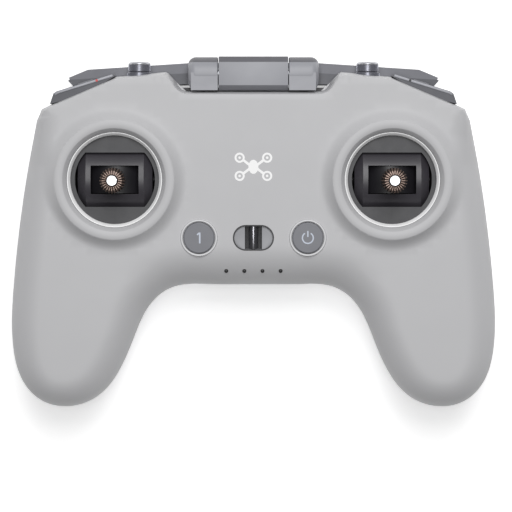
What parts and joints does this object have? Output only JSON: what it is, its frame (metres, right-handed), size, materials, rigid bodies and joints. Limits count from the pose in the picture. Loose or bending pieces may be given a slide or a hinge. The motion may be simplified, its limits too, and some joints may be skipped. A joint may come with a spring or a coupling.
{
  "type": "radio transmitter controller",
  "caption": "Hand-held two-stick radio transmitter with grips, gimbals, buttons, shoulder switches and a folding antenna.",
  "frame": {"origin": "centre of the footprint, on the plane that the back rests on", "axes": "+Z out of the face, towards the user; +Y towards the antenna; +X to the user's right"},
  "size_m": [0.1902, 0.1371, 0.051],
  "materials": {
    "shell": "fine matt texture",
    "graphite": "satin",
    "antenna_skin": "satin",
    "trim": "bright chamfered ring",
    "gimbal_plate": "fine matt texture",
    "drum": "satin",
    "stick_metal": "anodised, knurled",
    "cap_metal": "bright",
    "steel": "ground",
    "key_grey": "satin",
    "cup_grey": "satin",
    "light_pipe": "smoked clear",
    "circuit_board": "solder mask",
    "black_plastic": "moulded",
    "cell_wrap": "shrink sleeve",
    "screw_steel": "blackened"
  },
  "bodies": {
    "case": {"back_shell": "shell", "battery_cells": "cell_wrap", "battery_cradle": "black_plastic", "board_connectors": "black_plastic", "board_screws": "screw_steel", "buzzer": "black_plastic", "charge_board": "circuit_board", "charge_port": "steel", "front_shell": "shell", "gimbal_bearings": "steel", "gimbal_screws": "screw_steel", "hall_sensors": "circuit_board", "hinge_pin": "steel", "housing_screws": "screw_steel", "lanyard_bar": "steel", "lanyard_cup": "cup_grey", "left_gimbal_housing": "gimbal_plate", "left_gimbal_plate": "gimbal_plate", "left_gimbal_trim": "trim", "left_hinge_lug": "antenna_skin", "left_shoulder_ledge": "graphite", "main_board": "circuit_board", "right_gimbal_housing": "gimbal_plate", "right_gimbal_plate": "gimbal_plate", "right_gimbal_trim": "trim", "right_hinge_lug": "antenna_skin", "right_shoulder_ledge": "graphite", "shield_cans": "steel", "shoulder_switches": "black_plastic", "status_lights": "light_pipe", "storage_sleeves": "graphite", "switch_bodies": "black_plastic", "switch_ferrules": "graphite", "tact_switches": "black_plastic"},
    "left_pitch": {"left_pitch_drum": "drum", "left_roll_axle": "steel"},
    "left_roll": {"left_roll_drum": "drum", "left_stick_shaft": "steel", "left_stick_nut": "stick_metal"},
    "left_crown": {"left_stick_crown": "stick_metal", "left_crown_cap": "cap_metal"},
    "right_pitch": {"right_pitch_drum": "drum", "right_roll_axle": "steel"},
    "right_roll": {"right_roll_drum": "drum", "right_stick_shaft": "steel", "right_stick_nut": "stick_metal"},
    "right_crown": {"right_stick_crown": "stick_metal", "right_crown_cap": "cap_metal"},
    "custom_button": {"custom_button": "key_grey"},
    "power_button": {"power_button": "key_grey"},
    "mode_switch": {"mode_switch": "key_grey"},
    "option_switch": {"option_switch": "key_grey"},
    "pause_button": {"pause_button": "key_grey"},
    "record_button": {"record_button": "key_grey"},
    "antenna": {"antenna_knuckle": "antenna_skin", "left_antenna_housing": "graphite", "right_antenna_housing": "graphite", "left_antenna_cover": "antenna_skin", "right_antenna_cover": "antenna_skin", "antenna_boards": "circuit_board"}
  },
  "joints": [
    {"name": "left_stick_pitch", "type": "hinge", "parent": "case", "child": "left_pitch", "pos_m": [-0.0535, 0.021, 0.021], "axis": [1, 0, 0], "range_deg": [-25, 25]},
    {"name": "left_stick_roll", "type": "hinge", "parent": "left_pitch", "child": "left_roll", "pos_m": [-0.0535, 0.021, 0.021], "axis": [0, 1, 0], "range_deg": [-25, 25], "stiffness_Nm_per_rad": 0.05},
    {"name": "left_stick_length", "type": "slide", "parent": "left_roll", "child": "left_crown", "axis": [0, 0, 1], "range_m": [0, 0.003]},
    {"name": "right_stick_pitch", "type": "hinge", "parent": "case", "child": "right_pitch", "pos_m": [0.0535, 0.021, 0.021], "axis": [1, 0, 0], "range_deg": [-25, 25], "stiffness_Nm_per_rad": 0.05},
    {"name": "right_stick_roll", "type": "hinge", "parent": "right_pitch", "child": "right_roll", "pos_m": [0.0535, 0.021, 0.021], "axis": [0, 1, 0], "range_deg": [-25, 25], "stiffness_Nm_per_rad": 0.05},
    {"name": "right_stick_length", "type": "slide", "parent": "right_roll", "child": "right_crown", "axis": [0, 0, 1], "range_m": [0, 0.003]},
    {"name": "custom_button_press", "type": "slide", "parent": "case", "child": "custom_button", "axis": [0, 0, -1], "range_m": [0, 0.0006], "stiffness_N_per_m": 800},
    {"name": "power_button_press", "type": "slide", "parent": "case", "child": "power_button", "axis": [0, 0, -1], "range_m": [0, 0.0006], "stiffness_N_per_m": 800},
    {"name": "mode_switch_tilt", "type": "hinge", "parent": "case", "child": "mode_switch", "pos_m": [-0.0442, 0.0555, 0.0275], "axis": [1, 0, 0], "range_deg": [-10, 10]},
    {"name": "option_switch_tilt", "type": "hinge", "parent": "case", "child": "option_switch", "pos_m": [0.0442, 0.0555, 0.0275], "axis": [1, 0, 0], "range_deg": [-10, 10]},
    {"name": "pause_button_press", "type": "slide", "parent": "case", "child": "pause_button", "axis": [-0.2922, -0.9564, 0], "range_m": [0, 0.0008], "stiffness_N_per_m": 500},
    {"name": "record_button_press", "type": "slide", "parent": "case", "child": "record_button", "axis": [0.2922, -0.9564, 0], "range_m": [0, 0.0008], "stiffness_N_per_m": 500},
    {"name": "antenna_fold", "type": "hinge", "parent": "case", "child": "antenna", "pos_m": [0, 0.062, 0.027], "axis": [1, 0, 0], "range_deg": [0, 100]}
  ]
}
